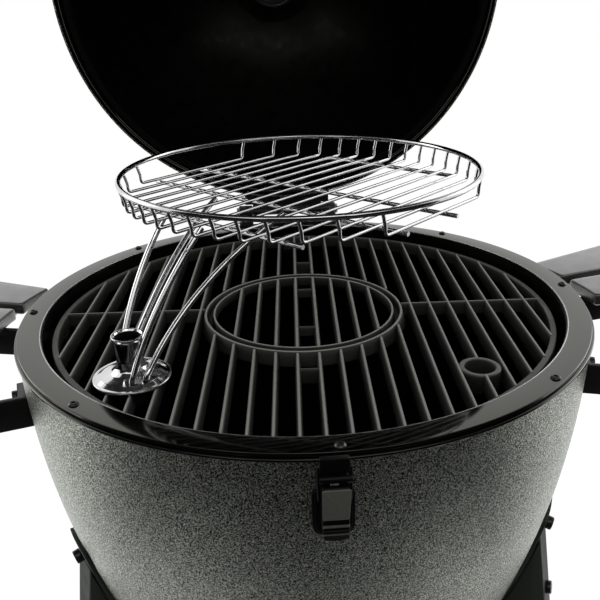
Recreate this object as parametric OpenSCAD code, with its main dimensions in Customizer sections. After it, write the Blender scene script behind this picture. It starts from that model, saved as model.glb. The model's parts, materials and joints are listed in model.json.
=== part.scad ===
// Floor-standing kamado grill: insulated steel bowl on four splayed legs, hinged domed lid,
// cast-iron cooking grid, swing-out wire rack and a fan-shaped slatted shelf on each side.
// Millimetres, +Z up. Origin on the floor under the bowl's axis. The front is -Y.

/* [Bowl] */
// Height of the rim's top face above the floor
rim_h = 850; // [800:5:900]
// Outer radius of the rim ring
rim_r = 275; // [270:0.5:280]
// Width of the rim ring's flat face
rim_w = 21; // [20:0.5:23]
// Thickness of the rim ring
rim_t = 3; // [2:0.5:4]
// Reach of the rolled lip beyond the rim ring
lip_out = 3; // [2:0.5:4]
// Height of the rolled lip
lip_h = 7; // [5:0.5:9]
// Sheet thickness of bowl and lid
sheet_t = 2; // [1.5:0.1:2.5]
// Insulated space between the walls
wall_gap = 18; // [16:0.5:20]
// Depth of the bowl
bowl_depth = 400; // [390:5:410]
// Radius of the bowl's side curve
bowl_arc_r = 840; // [800:10:900]
// Height of the bevel at the bowl's base
base_bevel = 35; // [30:1:40]
// Screws round the rim
rim_screws_n = 8; // [6:1:12]

/* [Cooking grid] */
// Gap between the rim ring and the grid
grid_gap = 8; // [6:0.5:10]
// Depth of the grid's top below the rim
grid_drop = 11; // [8:0.5:14]
// Thickness of the grid
grid_t = 14; // [12:0.5:16]
// Width of a grid bar
bar_w = 6; // [5:0.5:7]
// Distance from bar to bar
bar_pitch = 19.5; // [18:0.1:21]
// Sideways shift of the bars from the grid's middle
bar_shift = 2.5; // [0:0.5:4]
// Shift of the cross bar to the back
cross_shift = 6; // [0:1:8]
// Outer radius of the lift-out centre
insert_r = 96.5; // [90:0.5:100]
// Turn of the grid in its seat
grid_turn = -3; // [-10:1:10]
// Distance of the rack sockets from the axis
socket_at = 201.5; // [196:0.5:206]
// Angle of the sockets from the front
socket_turn = 47; // [42:1:52]
// Bore radius of the sockets
socket_r = 13; // [12:0.5:14]

/* [Wire rack] */
// Radius of the rack's rim wire
rack_r = 168; // [160:1:172]
// Height of the rack's rim above the grill's rim
rack_h = 132; // [125:1:136]
// Height of the rack's edge
rack_edge = 20; // [16:1:24]
// Direction of the rack's wires from +X
rack_turn = 45; // [40:1:50]
// Number of parallel wires
wires_n = 16; // [12:1:18]
// Distance from wire to wire
wire_pitch = 20; // [18:0.5:20.5]
// Radius of a wire
wire_r = 1.5; // [1.25:0.05:1.75]
// Radius of the rack's rim wire and of its supports
rack_rim_r = 2.5; // [2:0.1:3]
// Radius of a stand rod
rod_r = 3; // [2.5:0.1:3.5]
// Radius of the stand's dish
dish_r = 33; // [30:1:36]
// Height of the stand's cup above the grid
cup_h = 39; // [34:1:44]

/* [Lid] */
// Height of the lid's dome above the rim
lid_h = 250; // [240:1:260]
// Height of the lid's straight band
lid_band = 20; // [16:1:24]
// Opening angle of the lid
lid_turn = 90; // [0:5:90]
// Distance of the hinge axis behind the rim
hinge_out = 21; // [20:0.5:24]
// Height of the hinge axis above the rim
hinge_z = 9.5; // [9:0.5:11]
// Radius of the hinge pins
hinge_pin_r = 4; // [3.5:0.1:4.5]
// Half width of the gap between the hinge ears
hinge_half = 47; // [42:1:52]
// Length of the lid's handle
handle_l = 200; // [180:5:220]
// Radius of the lid's handle
handle_r = 12; // [10:0.5:14]
// Elevation of the thermometer on the dome
gauge_turn = 52; // [46:1:58]
// Radius of the thermometer's case
gauge_r = 36; // [32:1:40]
// Radius of the top vent's tube
vent_r = 40; // [36:1:44]

/* [Latch] */
// Width of the latch lever
lever_w = 18.5; // [17:0.5:20]
// Depth of the latch pivot below the bowl's lip
latch_drop = 8; // [7:0.5:10]
// Length of the latch lever
lever_l = 43; // [40:1:46]

/* [Stand] */
// Angle of the front legs from the front
front_leg_turn = 62; // [58:1:66]
// Angle of the rear legs from the front
rear_leg_turn = 125; // [120:1:130]
// Outward lean of the legs
leg_lean = 8; // [7:0.5:9]
// Radial width of a leg
leg_w = 57; // [52:1:62]
// Width of a leg round the bowl
leg_t = 40; // [36:1:44]
// Wall of a leg
leg_wall = 2.5; // [2:0.25:3]
// Depth of the strap's bolt below the strap's top
strap_bolt_drop = 16; // [12:1:20]
// Depth of the leg's upper bolt below the leg's top
leg_bolt_high = 70; // [60:1:80]
// Depth of the leg's lower bolt below the leg's top
leg_bolt_low = 118; // [105:1:130]
// Thickness of the straps between bowl and legs
strap_t = 4; // [3:0.5:5]
// Height of the lower tray
tray_h = 200; // [180:5:220]
// Radius of the wheels
wheel_r = 80; // [75:1:85]
// Width of the wheels
wheel_w = 32; // [28:1:36]
// Radius of the axle
axle_r = 6; // [5:0.5:7]

/* [Side shelves] */
// Slats in each shelf
slats_n = 5; // [3:2:5]
// Angle from slat to slat
slat_pitch = 11.1; // [10.5:0.1:11.5]
// Angle covered by a slat
slat_turn = 9; // [8:0.25:9.5]
// Radius of the slats' inner ends
slat_in_r = 327; // [322:1:335]
// Length of a slat
slat_l = 215; // [190:5:240]
// Thickness of a slat
slat_t = 14; // [12:0.5:16]
// Depth of the slats' top below the rim
slat_drop = 30; // [26:1:34]
// Angle of the front arm from the side
front_arm_turn = 17; // [15:1:19]
// Angle of the rear arm from the side
rear_arm_turn = 13.5; // [12:0.5:15]
// Height of an arm
arm_h = 31; // [28:1:34]
// Thickness of an arm
arm_t = 6; // [5:0.5:7]

/* [Ash drawer] */
// Radius of the ash opening
ash_r = 55; // [50:1:58]
// Width of the drawer's housing
ash_w = 160; // [150:2:170]
// Height of the drawer's housing
ash_h = 70; // [64:1:76]
// Depth of the drawer's housing
ash_l = 190; // [180:5:200]

/* [Hidden] */
$fn = 96;
// Clearances: a running pin, a welded or seated face, and two moving pieces
run_c = 0.05;
seat_c = 0.1;
wall_c = 0.3;
move_c = 0.3;

bowl_arc_z = 0;
side_steps = 12;
flange_t = 2;
groove_in = 2;
flange_split = rim_r - 13;
liner_in = sheet_t + wall_gap;
liner_floor = -bowl_depth + liner_in + sheet_t;
rim_in_r = rim_r - rim_w;
rim_screw_at = rim_r - 7;
rim_screw_r = 2.5;
lip_r = rim_r + lip_out;
lip_low = -rim_t - flange_t - lip_h;

grid_r = rim_in_r - grid_gap;
grid_rim_w = 7;
grid_low = -grid_drop - grid_t;
insert_ledge = 4;
insert_ledge_t = 4;
insert_gap = 1;
insert_wall = 6;
main_rung_y = 136;
insert_rung_y = 49;
socket_wall = 5;
socket_deep = grid_t + 4;
lug_n = 4;
lug_w = 20;
lug_t = 8;
grate_gap = 17.5;
grate_t = 8;
grate_foot = 30;

post_dir = -90 - socket_turn + grid_turn;
post_at = [socket_at * cos(post_dir), socket_at * sin(post_dir)];
post_z = -grid_drop + move_c;
stem_r = socket_r - 0.06;
cup_r = 11;
wire_z = rack_h - rack_edge;
support_r = rack_rim_r - 0.5;
support_z = wire_z - wire_r - support_r - run_c;
supports_u = [-122, -48, 18, 143];
tube_sides = 8;

lid_r = rim_r;
lid_low = 4;
dome_z = (lid_r * lid_r + lid_band * lid_band - lid_h * lid_h) / (2 * (lid_band - lid_h));
dome_r = lid_h - dome_z;
lid_flat = lid_h - 7;
lid_ring_t = 3;
gasket_r = [rim_in_r + 2, rim_screw_at - 2 * rim_screw_r - 2 * wall_c];
gasket_low = 0.5;
hinge_y = rim_r + hinge_out;
hinge_ear = 19;
barrel_r = 5;
ear_r = 9;
ear_gap = move_c;
hinge_plate_t = 4;
hinge_plate_half = hinge_half + 10;
handle_z = 48;
handle_out = 45;
handle_post_x = handle_l * 0.35;
handle_post_r = 7;
handle_y = lid_r + handle_out;
vent_wall = 3;
vent_h = 30;
vent_holes = 6;
vent_hole_r = 9;
vent_pcd_r = 25;
vent_cap_t = 4;
vent_pin_r = 4;
gauge_h = 16;
gauge_floor = 6;
gauge_wall = 3;
gauge_stem_r = 3.5;
gauge_pin_r = 1.5;

pivot_z = lip_low - latch_drop;
latch_back = bowl_radius(pivot_z) + move_c;
latch_plate_t = 3;
pivot_y = -latch_back - latch_plate_t - 6;
bail_y = pivot_y - 3;
bail_z = pivot_z - 9;
bail_r = 1.2;
bail_x = lever_w / 2 + bail_r + 0.4;
lever_wall = 2.8;
lever_face_y = pivot_y - 8;
latch_pin_r = 2;
bail_block = [2 * bail_x + 2 * bail_r, 5, 12];
bail_top = 4;
strike_z = 14;

leg_turns = [-90 - front_leg_turn, -90 + front_leg_turn, -90 + rear_leg_turn, -90 - rear_leg_turn];
leg_top_z = -211;
leg_top_r = bowl_radius(leg_top_z) + strap_t + 1;
strap_top = -185;
strap_low = -345;
strap_turn = 10;
strap_in = seat_c;
foot_h = 18;
foot_r = 24;
wheel_z = wheel_r;
axle_leg_r = leg_out_r(wheel_z - rim_h) - leg_w / 2;
axle_y = axle_leg_r * sin(leg_turns[2]);
wheel_x = leg_out_r(wheel_z - rim_h) * cos(leg_turns[2]) + leg_t / 2 + 6;
tray_t = 2;
tray_lip = 20;
tray_r = leg_in_r(tray_h + tray_lip - rim_h) - move_c;
bolt_head_r = 6.5;
bolt_head_h = 5;
bolt_r = 3;

slat_top = -slat_drop;
rail_t = 6;
rail_w = 14;
rail_in = [20, slat_l - 40];
slat_low = slat_top - slat_t;
arm_top = slat_low - rail_t;
arm_out_r = slat_in_r + slat_l - 18;
arm_foot_w = 34;
arm_foot_t = 7;
arm_z = arm_top - arm_h / 2;

ash_top = -bowl_depth;
ash_wall = 2;
ash_front = -ash_l / 2;
drawer_gap = 2;
panel_t = 3;
slots_n = 3;
slot_w = 14;
slot_h = 30;
slot_pitch = 32;
damper_t = 2;

// Outer radius of the bowl at a height below the rim
function bowl_radius(z) = rim_r - bowl_arc_r +
    sqrt(bowl_arc_r * bowl_arc_r - (z - bowl_arc_z) * (z - bowl_arc_z));

// Radius of a leg's outer and inner edges at a height below the rim
function leg_out_r(z) = leg_top_r + (leg_top_z - z) * tan(leg_lean);
function leg_in_r(z) = leg_out_r(z) - leg_w / cos(leg_lean);

// Side of the bowl between two heights, inset from its outer face
function side(inset, top, low) = [for (i = [0:side_steps])
    let (z = top + (low - top) * i / side_steps) [bowl_radius(z) - inset, z]];

// The same side with the bevel and the flat base, ending at the radius of the opening
function side_and_base(inset, top, hole) =
    let (low = -bowl_depth + base_bevel)
    concat(side(inset, top, low),
        [[bowl_radius(low) - base_bevel - inset * tan(22.5), -bowl_depth + inset],
            [hole, -bowl_depth + inset]]);

function flip(points) = [for (i = [len(points) - 1:-1:0]) points[i]];
function unit(v) = v / norm(v);

// Places in the grill: the rim's plane, the open lid, and the front of the dome
module at_rim() translate([0, 0, rim_h]) children();
module on_lid() at_rim() translate([0, hinge_y, hinge_z]) rotate([-lid_turn, 0, 0])
    translate([0, -hinge_y, -hinge_z]) children();
module on_gauge() on_lid() translate([0, 0, dome_z]) rotate([90 - gauge_turn, 0, 0])
    translate([0, 0, dome_r]) children();
module at_post() at_rim() translate([post_at[0], post_at[1], post_z]) children();
module round_axis(n, first = 0) for (i = [0:n - 1]) rotate(first + 360 * i / n) children();

// Solid inside the bowl's outer face, grown by a clearance
module bowl_body(grow) rotate_extrude()
    polygon(concat([[0, 0]], side_and_base(-grow, 0, 0)));

// Half section of the lid's dome, inset from its outer face
module dome_half(inset, low) intersection() {
    translate([0, dome_z]) circle(r = dome_r - inset, $fn = 360);
    translate([0, low]) square([lid_r - inset, lid_flat - inset - low]);
}

// Round tube swept along points; across is a direction that the path never follows
module swept_tube(points, r, across, sides = tube_sides) {
    last = len(points) - 1;
    rings = [for (i = [0:last])
        let (along = unit(points[min(i + 1, last)] - points[max(i - 1, 0)]),
             n = unit(cross(along, across)), b = cross(n, along))
        for (k = [0:sides - 1]) points[i] + r * (cos(360 * k / sides) * n + sin(360 * k / sides) * b)];
    skin = [for (i = [0:last - 1]) for (k = [0:sides - 1])
        let (a = i * sides + k, c = i * sides + (k + 1) % sides)
        each [[a, a + sides, c], [c, a + sides, c + sides]]];
    first_cap = [for (k = [0:sides - 1]) k];
    last_cap = [for (k = [sides - 1:-1:0]) last * sides + k];
    polyhedron(rings, concat([first_cap], skin, [last_cap]));
}

module bowl_shell() color("#4c4f4e") at_rim() {
    low = lip_low - 1;
    rotate_extrude() polygon(concat(
        [[flange_split + run_c, -rim_t], [rim_r - groove_in, -rim_t], [rim_r - groove_in, -rim_t - flange_t],
         [lip_r, -rim_t - flange_t], [lip_r, lip_low]],
        side_and_base(0, low, ash_r),
        flip(side_and_base(sheet_t, -rim_t - flange_t, ash_r)),
        [[flange_split + run_c, -rim_t - flange_t]]));
}

module bowl_insulation() color("#d8d2c0") at_rim() {
    top = -rim_t - flange_t - 1;
    rotate_extrude() polygon(concat(
        side_and_base(sheet_t + move_c, top, ash_r),
        flip(side_and_base(liner_in - move_c, top, ash_r))));
}

module bowl_liner() color("#17181a") at_rim() {
    rotate_extrude() polygon(concat(
        [[flange_split, -rim_t], [flange_split, -rim_t - flange_t]],
        side_and_base(liner_in, -rim_t - flange_t, ash_r),
        flip(side_and_base(liner_in + sheet_t, -rim_t, ash_r))));
}

module rim_ring() color("#1b1b1c") at_rim() difference() {
    translate([0, 0, -rim_t]) cylinder(r = rim_r, h = rim_t);
    translate([0, 0, -rim_t - 1]) cylinder(r = rim_in_r, h = rim_t + 2);
    round_axis(rim_screws_n, -90) translate([rim_screw_at, 0, -rim_t - 1])
        cylinder(r = rim_screw_r + seat_c, h = rim_t + 2);
}

module rim_screws() color("#2b2b2c") at_rim() round_axis(rim_screws_n, -90) translate([rim_screw_at, 0, 0]) {
    translate([0, 0, -rim_t]) cylinder(r = rim_screw_r, h = rim_t);
    cylinder(r1 = 2 * rim_screw_r, r2 = 1.5 * rim_screw_r, h = rim_screw_r);
}

module grid_lugs() color("#202122") at_rim() {
    intersection() {
        round_axis(lug_n) translate([grid_r - grid_gap, -lug_w / 2, grid_low - lug_t])
            cube([rim_r - grid_r, lug_w, lug_t]);
        translate([0, 0, grid_low - lug_t])
            cylinder(r = bowl_radius(grid_low - lug_t) - liner_in - sheet_t - seat_c, h = lug_t);
    }
}

grate_r = bowl_radius(liner_floor + grate_foot) - liner_in - sheet_t - grate_gap;

module charcoal_grate() color("#2a2a2a") at_rim() translate([0, 0, liner_floor]) {
    slot_at = grate_r * 0.85;
    for (p = [[4.5, 3.6], [-4.5, 3.6], [0.5, -5.75]]) translate([p[0] * grate_r / 8, p[1] * grate_r / 8, 0])
        cylinder(r = 8, h = grate_foot + 1);
    translate([0, 0, grate_foot]) linear_extrude(grate_t) difference() {
        circle(r = grate_r);
        for (x = [-6:6]) let (half = sqrt(slot_at * slot_at - pow(x * grate_r / 8, 2)))
            translate([x * grate_r / 8, 0]) square([grate_r / 16, 2 * half], center = true);
    }
    translate([0, 0, grate_foot]) linear_extrude(grate_t) square([2 * slot_at, grate_r / 10], center = true);
}

module ash_tube() color("#202122") at_rim() {
    tube_r = ash_r - move_c;
    difference() {
        union() {
            translate([0, 0, ash_top - ash_wall - 4])
                cylinder(r = tube_r, h = liner_floor - ash_top + ash_wall + 5);
            translate([0, 0, liner_floor]) cylinder(r = ash_r + 7, h = sheet_t);
        }
        translate([0, 0, ash_top - ash_h]) cylinder(r = tube_r - sheet_t, h = 2 * ash_h);
    }
}

module ash_housing() color("#1e1f20") at_rim() translate([0, 0, ash_top - ash_h]) difference() {
    translate([-ash_w / 2, -ash_l / 2, 0]) cube([ash_w, ash_l, ash_h]);
    translate([-ash_w / 2 + ash_wall, -ash_l / 2 - 1, ash_wall])
        cube([ash_w - 2 * ash_wall, ash_l + 1 - ash_wall, ash_h - 2 * ash_wall]);
    translate([0, 0, ash_h / 2]) cylinder(r = ash_r, h = ash_h);
}

// Air slots of the drawer's front and of the damper, side by side along X
module air_slots(depth) for (i = [0:slots_n - 1])
    translate([(i - (slots_n - 1) / 2) * slot_pitch - slot_w / 2, -depth, -slot_h / 2])
        cube([slot_w, 3 * depth, slot_h]);

module ash_drawer() color("#242526") at_rim() translate([0, 0, ash_top - ash_h]) {
    inner_w = ash_w - 2 * ash_wall - 2 * drawer_gap;
    inner_h = ash_h - 2 * ash_wall - 8;
    inner_l = ash_l - ash_wall - drawer_gap;
    panel_y = ash_front - move_c - panel_t;
    rail_at = slot_h / 2 + 5;
    difference() {
        union() {
            translate([-inner_w / 2, ash_front - move_c, ash_wall + move_c])
                cube([inner_w, inner_l, inner_h]);
            translate([-ash_w / 2, panel_y, 0]) cube([ash_w, panel_t, ash_h]);
            for (s = [-1, 1]) translate([0, panel_y, ash_h / 2 + s * rail_at]) {
                translate([-ash_w * 0.4, -damper_t - 1, s > 0 ? 0 : -3]) cube([ash_w * 0.8, damper_t + 1, 3]);
                translate([-ash_w * 0.4, -damper_t - 3, s > 0 ? -3 : -3]) cube([ash_w * 0.8, 2, 6]);
            }
        }
        translate([-inner_w / 2 + ash_wall, ash_front - move_c, 2 * ash_wall])
            cube([inner_w - 2 * ash_wall, inner_l - ash_wall, ash_h]);
        translate([0, panel_y, ash_h / 2]) air_slots(panel_t);
    }
}

module damper_slide() color("#8d9090") at_rim() translate([0, 0, ash_top - ash_h]) {
    plate_h = slot_h + 10 - 2 * move_c;
    plate_w = slots_n * slot_pitch + 4;
    translate([0, ash_front - 2 * move_c - panel_t, ash_h / 2]) {
        difference() {
            translate([-plate_w / 2, -damper_t, -plate_h / 2]) cube([plate_w, damper_t, plate_h]);
            translate([0, -damper_t, 0]) air_slots(damper_t);
        }
        translate([slot_pitch / 2, -damper_t, 0]) rotate([90, 0, 0]) cylinder(r = 6, h = 14);
    }
}

// Plan of the bars inside a circle, with two rungs in the middle gap
module bars(r, rung_y, rung_w) {
    n = floor(r / bar_pitch + 0.4);
    intersection() {
        circle(r = r);
        union() {
            for (i = [-n:n - 1]) let (x = bar_shift + (i + 0.5) * bar_pitch)
                if (abs(x) < r - bar_w) translate([x, 0]) square([bar_w, 2 * r + 2], center = true);
            for (s = [-1, 1]) translate([bar_shift, cross_shift + s * rung_y])
                square([rung_w, bar_w], center = true);
        }
    }
}

// Plan of the grid's rings and sockets round its centre opening
module grid_plan(hole_r) difference() {
    union() {
        difference() {
            circle(r = grid_r);
            circle(r = grid_r - grid_rim_w);
        }
        circle(r = insert_r + insert_gap + insert_wall);
        each_socket() circle(r = socket_r + socket_wall);
    }
    circle(r = hole_r);
    each_socket() circle(r = socket_r);
}

module each_socket() for (s = [-1, 1]) rotate(-90 + s * socket_turn) translate([socket_at, 0]) children();

module cooking_grid() color("#232323") at_rim() rotate(grid_turn) translate([0, 0, grid_low]) {
    translate([0, 0, insert_ledge_t]) linear_extrude(grid_t - insert_ledge_t)
        grid_plan(insert_r + insert_gap);
    linear_extrude(insert_ledge_t) grid_plan(insert_r - insert_ledge);
    each_socket() translate([0, 0, grid_t - socket_deep]) difference() {
        cylinder(r = socket_r + socket_wall, h = socket_deep - grid_t);
        translate([0, 0, -1]) cylinder(r = socket_r, h = socket_deep);
    }
}

module grid_bars() color("#232323") at_rim() rotate(grid_turn) translate([0, 0, grid_low])
    linear_extrude(grid_t)
    difference() {
        bar_end = grid_r - grid_rim_w - wall_c;
        union() {
            difference() {
                bars(bar_end, main_rung_y, bar_pitch - bar_w - 2 * wall_c);
                translate([0, cross_shift]) square([2 * grid_r, bar_w + 2 * wall_c], center = true);
            }
            intersection() {
                circle(r = bar_end);
                translate([0, cross_shift]) square([2 * grid_r, bar_w], center = true);
            }
        }
        circle(r = insert_r + insert_gap + insert_wall + wall_c);
        each_socket() circle(r = socket_r + socket_wall + wall_c);
    }

module grid_insert() color("#232323") at_rim() rotate(grid_turn) translate([0, 0, grid_low + insert_ledge_t])
    linear_extrude(grid_t - insert_ledge_t) {
        bars(insert_r - 1, insert_rung_y, bar_pitch);
        difference() {
            circle(r = insert_r);
            circle(r = insert_r - insert_wall);
        }
    }

// Stem, dish and open cup of the rack's stand, turned in one piece
module rack_post() color("#c9cbcc") at_post() rotate_extrude() polygon([
    [0, -socket_deep - 8], [stem_r - 1, -socket_deep - 8], [stem_r, -socket_deep - 7], [stem_r, 0],
    [dish_r, 0],
    [dish_r, 1.5], [dish_r * 0.82, 4.5], [cup_r + 2.5, 8], [cup_r, 12], [cup_r - 0.8, cup_h / 2],
    [cup_r, cup_h - 3], [cup_r + 1.7, cup_h], [cup_r + 0.3, cup_h], [cup_r - 1.6, cup_h - 3],
    [cup_r - 2.2, cup_h / 2], [cup_r - 2.2, 8], [0, 8]]);

// Point of the rack: along its wires, across them, and up from the grill's rim
function rack_point(u, v, z) = [u * cos(rack_turn) - v * sin(rack_turn),
    u * sin(rack_turn) + v * cos(rack_turn), z];

// Each stand rod: its foot's angle, distance and height, the support that it ends under, its place along that
// support, and the bow of its middle
rod_off = cup_r + rod_r + seat_c;
rods = [
    [131, rod_off, 13, 0, 55, [-11, 0, 4]],
    [101, rod_off, 13, 1, 67, [-4, 6, 20]],
    [-80, cup_r + 12, 8, 0, 5, [-16, -8, -4]],
    [-51, cup_r + 12, 8.3, 1, -23, [-28, 20, 0]]
];
rod_steps = 12;

module rack_rods() color("#c9cbcc") at_rim() for (rod = rods) {
    a = [post_at[0] + rod[1] * cos(rod[0]), post_at[1] + rod[1] * sin(rod[0]), post_z + rod[2]];
    c = rack_point(supports_u[rod[3]], rod[4], support_z - support_r - rod_r - run_c);
    b = (a + c) / 2 + rod[5];
    swept_tube([for (i = [0:rod_steps]) let (t = i / rod_steps)
        (1 - t) * (1 - t) * a + 2 * t * (1 - t) * b + t * t * c], rod_r, rack_point(0, 1, 0));
}

module rack_rim() color("#c9cbcc") at_rim() translate([0, 0, rack_h])
    rotate_extrude() translate([rack_r, 0]) circle(r = rack_rim_r);

// Half length of a wire's straight run, and its place across the rack
wire_bend = 4;
wire_lean = 3;
function wire_v(i) = (i - (wires_n - 1) / 2) * wire_pitch;
function wire_half(i) = sqrt(rack_r * rack_r - wire_v(i) * wire_v(i)) - wire_lean - wire_bend;

module rack_wires() color("#c9cbcc") at_rim() for (i = [0:wires_n - 1])
    translate(rack_point(-wire_half(i), wire_v(i), wire_z)) rotate([0, 90, rack_turn])
        cylinder(r = wire_r, h = 2 * wire_half(i));

module rack_uprights() color("#c9cbcc") at_rim() for (i = [0:wires_n - 1]) for (s = [-1, 1]) {
    u = wire_half(i);
    path = [[u + run_c, 0], [u + 1, 0], [u + wire_bend - 1, wire_bend / 2], [u + wire_bend, 2 * wire_bend],
        [u + wire_bend + wire_lean, rack_edge - rack_rim_r - seat_c - run_c]];
    swept_tube([for (p = path) rack_point(s * p[0], wire_v(i), wire_z + p[1])], wire_r, rack_point(0, 1, 0));
}

module rack_supports() color("#c9cbcc") at_rim() for (u = supports_u) {
    half = sqrt(rack_r * rack_r - u * u) - rack_rim_r - 4;
    translate(rack_point(u, -half, support_z)) rotate([-90, 0, rack_turn])
        cylinder(r = support_r, h = 2 * half);
}

module lid_shell() color("#4c4f4e") on_lid() difference() {
    rotate_extrude() difference() {
        dome_half(0, lid_low);
        dome_half(sheet_t, lid_low - 1);
    }
    cylinder(r = vent_r + move_c, h = 2 * lid_h);
    gauge_hole();
}

module lid_insulation() color("#d8d2c0") on_lid() difference() {
    rotate_extrude() difference() {
        dome_half(sheet_t + move_c, lid_low + 2 * lid_ring_t);
        dome_half(liner_in - move_c, 0);
    }
    cylinder(r = vent_r + move_c, h = 2 * lid_h);
    gauge_hole();
}

module lid_liner() color("#0e0e0f") on_lid() difference() {
    rotate_extrude() {
        difference() {
            dome_half(liner_in, lid_low + 1);
            dome_half(liner_in + sheet_t, 0);
        }
        translate([lid_r - liner_in - sheet_t, lid_low + 1])
            square([wall_gap + sheet_t - seat_c, lid_ring_t]);
    }
    cylinder(r = vent_r + move_c, h = 2 * lid_h);
    gauge_hole();
}

module lid_gasket() color("#3a3a38") on_lid() difference() {
    translate([0, 0, gasket_low]) cylinder(r = gasket_r[1], h = lid_low + 1 - gasket_low);
    cylinder(r = gasket_r[0], h = 3 * lid_low);
}

// Bore through the dome for the thermometer's stem
module gauge_hole() translate([0, 0, dome_z]) rotate([90 - gauge_turn, 0, 0]) translate([0, 0, dome_r / 2])
    cylinder(r = gauge_stem_r + move_c, h = dome_r);

module lid_hinge_plate() color("#1a1a1b") on_lid() {
    clear_y = hinge_y - ear_r - 1;
    barrel_half = hinge_half - ear_gap;
    difference() {
        union() {
            difference() {
                translate([-hinge_plate_half, lid_r - 20, hinge_z])
                    cube([2 * hinge_plate_half, clear_y - lid_r + 20, hinge_plate_t]);
                translate([0, 0, hinge_z - 1]) cylinder(r = lid_r + seat_c, h = hinge_plate_t + 2);
            }
            translate([-barrel_half, clear_y - 1, hinge_z])
                cube([2 * barrel_half, hinge_y - clear_y + 1, hinge_plate_t]);
            translate([-barrel_half, hinge_y, hinge_z]) rotate([0, 90, 0])
                cylinder(r = barrel_r, h = 2 * barrel_half);
        }
        translate([-hinge_half, hinge_y, hinge_z]) rotate([0, 90, 0])
            cylinder(r = hinge_pin_r + run_c, h = 2 * hinge_half);
    }
}

module hinge_base() color("#1a1a1b") at_rim() {
    low = -75;
    top = lip_low - 2;
    web_y = lip_r + 1;
    out_x = hinge_half + hinge_ear;
    difference() {
        union() {
            translate([-out_x, rim_r - 22, low]) cube([2 * out_x, web_y + 6 - rim_r + 22, top - low]);
            for (s = [-1, 1]) translate([s * (hinge_half + hinge_ear / 2), 0, 0]) {
                translate([-hinge_ear / 2, web_y, top - 1])
                    cube([hinge_ear, hinge_y - web_y, hinge_z - 4 - top + 1]);
                translate([-hinge_ear / 2, hinge_y, hinge_z]) rotate([0, 90, 0])
                    cylinder(r = ear_r, h = hinge_ear);
            }
        }
        bowl_body(wall_c);
        translate([-out_x - 1, hinge_y, hinge_z]) rotate([0, 90, 0])
            cylinder(r = hinge_pin_r + run_c, h = 2 * out_x + 2);
        hinge_bolt_places() cylinder(r = bolt_r + seat_c, h = 40, center = true);
    }
}

module hinge_bolt_places() for (x = [-1, 1]) for (z = [-30, -60])
    translate([x * hinge_half, lip_r + 7, z]) rotate([-90, 0, 0]) children();

module hinge_pins() color("#9a9c9d") at_rim() for (s = [-1, 1])
    translate([s * (hinge_half + hinge_ear / 2), hinge_y, hinge_z]) rotate([0, s * 90, 0]) {
        translate([0, 0, -hinge_ear / 2 - 20]) cylinder(r = hinge_pin_r, h = hinge_ear + 20);
        translate([0, 0, hinge_ear / 2]) cylinder(r = hinge_pin_r + 2.5, h = 3);
    }

module hinge_bolts() color("#2b2b2c") at_rim() difference() {
    hinge_bolt_places() {
        translate([0, 0, -12]) cylinder(r = bolt_r, h = 12);
        cylinder(r = bolt_head_r, h = bolt_head_h);
    }
    bowl_body(seat_c);
}

module lid_handle() color("#141415") on_lid() translate([-handle_l / 2, -handle_y, handle_z])
    rotate([0, 90, 0])
    rotate_extrude() polygon(concat([[0, 0]],
        [for (a = [0:15:90]) [handle_r * sin(a), handle_r * (1 - cos(a))]],
        [for (a = [90:-15:0]) [handle_r * sin(a), handle_l - handle_r * (1 - cos(a))]]));

module handle_posts() color("#9a9c9d") on_lid() difference() {
    for (s = [-1, 1]) translate([s * handle_post_x, -handle_y, handle_z]) rotate([-90, 0, 0])
        cylinder(r = handle_post_r, h = handle_y - lid_r / 2);
    rotate_extrude() dome_half(-seat_c, 0);
    translate([-handle_l / 2, -handle_y, handle_z]) rotate([0, 90, 0])
        cylinder(r = handle_r + seat_c, h = handle_l);
    translate([-handle_l / 2, -handle_y - 2 * handle_r, handle_z - handle_r])
        cube([handle_l, 2 * handle_r, 2 * handle_r]);
}

module latch_strike() color("#1a1a1b") on_lid() difference() {
    union() {
        translate([-lever_w / 2, -lid_r - 3, lid_low + 2]) cube([lever_w, 20, 34]);
        translate([-lever_w / 2, bail_y - 2, strike_z]) cube([lever_w, -bail_y - lid_r + 4, 4]);
        translate([-lever_w / 2, bail_y - 2, strike_z]) cube([lever_w, 3, 9]);
    }
    rotate_extrude($fn = 720) dome_half(-seat_c, 0);
}

module thermometer_case() color("#b9bbbb") on_gauge() difference() {
    union() {
        translate([0, 0, -4]) cylinder(r = gauge_r, h = gauge_h + 4);
        translate([0, 0, -wall_gap - 4 * sheet_t - 20])
            cylinder(r = gauge_stem_r, h = wall_gap + 4 * sheet_t + 20);
    }
    translate([0, 0, gauge_floor]) cylinder(r = gauge_r - gauge_wall, h = gauge_h);
    difference() {
        translate([0, 0, -dome_r]) sphere(r = dome_r + seat_c, $fn = 180);
        translate([0, 0, -dome_r]) cylinder(r = gauge_stem_r, h = 2 * dome_r);
    }
}

module thermometer_dial() color("#f2f2ee") on_gauge() {
    translate([0, 0, gauge_floor]) cylinder(r = gauge_r - gauge_wall - seat_c, h = 1);
    translate([0, 0, gauge_floor]) cylinder(r = gauge_pin_r, h = 4);
}

module thermometer_pointer() color("#b01818") on_gauge() translate([0, 0, gauge_floor + 1 + move_c])
    linear_extrude(1) difference() {
        union() {
            circle(r = 3.5);
            rotate(225) translate([-8, -1]) square([gauge_r - gauge_wall, 2]);
        }
        circle(r = gauge_pin_r + run_c);
    }

module thermometer_glass() color("#dfe8ea", 0.4) on_gauge() translate([0, 0, gauge_h - 4])
    cylinder(r = gauge_r - gauge_wall - seat_c, h = 2);

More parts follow.
